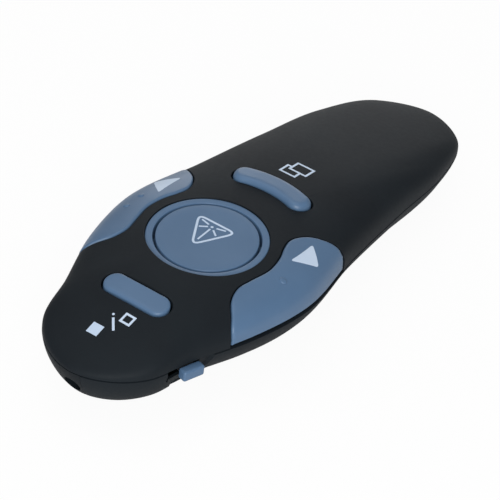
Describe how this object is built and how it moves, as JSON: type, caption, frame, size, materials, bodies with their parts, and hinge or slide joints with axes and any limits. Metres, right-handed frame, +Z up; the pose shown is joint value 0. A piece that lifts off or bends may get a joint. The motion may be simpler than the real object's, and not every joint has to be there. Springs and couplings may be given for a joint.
{
  "type": "presentation clicker",
  "caption": "Hand-held presentation clicker with a domed hourglass body, round laser button, page, screen and window buttons, side switch, battery door and stored receiver.",
  "frame": {"origin": "middle of the body in plan, on the flat belly that it rests on", "axes": "+Z up out of the button face, -Y towards the laser nose, +X towards the power switch"},
  "size_m": [0.0406, 0.1122, 0.0198],
  "materials": {
    "soft_black": "soft-touch matte black coating on ABS",
    "slate_blue": "satin moulded slate-blue ABS",
    "panel_black": "satin black ABS",
    "black_nylon": "matte black nylon",
    "cream_nylon": "natural nylon",
    "nickel_plate": "nickel-plated steel",
    "gold_plate": "gold-plated copper",
    "board_green": "solder mask on glass-epoxy laminate",
    "brass_barrel": "turned brass",
    "clear_lens": "clear lens",
    "lead_sleeve": "insulated wire",
    "cell_sleeve": "printed sleeve on a steel can"
  },
  "bodies": {
    "housing": {"top_shell": "soft_black", "bottom_shell": "soft_black", "nose_panel": "panel_black", "ring_frame": "slate_blue", "switch_can": "nickel_plate", "circuit_board": "board_green", "tact_housings": "black_nylon", "control_chip": "black_nylon", "clock_crystal": "nickel_plate", "antenna_trace": "gold_plate", "laser_barrel": "brass_barrel", "laser_lens": "clear_lens", "laser_leads": "lead_sleeve", "left_cell": "cell_sleeve", "right_cell": "cell_sleeve", "battery_springs": "nickel_plate", "negative_contact": "nickel_plate", "positive_contact": "nickel_plate", "bridge_contact": "nickel_plate", "case_screws": "nickel_plate", "board_screws": "nickel_plate"},
    "laser_press": {"laser_button": "slate_blue", "laser_plunger": "cream_nylon"},
    "left_press": {"left_page_button": "slate_blue", "left_plunger": "cream_nylon"},
    "right_press": {"right_page_button": "slate_blue", "right_plunger": "cream_nylon"},
    "screen_press": {"screen_button": "slate_blue", "screen_plunger": "cream_nylon"},
    "window_press": {"window_button": "slate_blue", "window_plunger": "cream_nylon"},
    "power_switch": {"switch_cap": "slate_blue", "switch_slider": "black_nylon"},
    "door": {"battery_door": "soft_black"},
    "receiver": {"receiver_case": "panel_black", "receiver_plug": "nickel_plate", "receiver_tongue": "cream_nylon", "receiver_contacts": "gold_plate"}
  },
  "joints": [
    {"name": "laser_button_press", "type": "slide", "parent": "housing", "child": "laser_press", "axis": [0, 0.0628, -0.998], "range_m": [0, 0.0003], "stiffness_N_per_m": 1000},
    {"name": "left_page_press", "type": "slide", "parent": "housing", "child": "left_press", "axis": [0, 0, -1], "range_m": [0, 0.0003], "stiffness_N_per_m": 1000},
    {"name": "right_page_press", "type": "slide", "parent": "housing", "child": "right_press", "axis": [0, 0, -1], "range_m": [0, 0.0003], "stiffness_N_per_m": 1000},
    {"name": "screen_button_press", "type": "slide", "parent": "housing", "child": "screen_press", "axis": [0, 0, -1], "range_m": [0, 0.0003], "stiffness_N_per_m": 1000},
    {"name": "window_button_press", "type": "slide", "parent": "housing", "child": "window_press", "axis": [0, 0, -1], "range_m": [0, 0.0003], "stiffness_N_per_m": 1000},
    {"name": "power_switch_slide", "type": "slide", "parent": "housing", "child": "power_switch", "axis": [-0.2756, -0.9613, 0], "range_m": [0, 0.0022]},
    {"name": "battery_door_tip", "type": "hinge", "parent": "housing", "child": "door", "pos_m": [0, -0.0153, 0], "axis": [-1, 0, 0], "range_deg": [0, 50]},
    {"name": "receiver_lift", "type": "slide", "parent": "housing", "child": "receiver", "axis": [0, 0, -1], "range_m": [0, 0.012]}
  ]
}
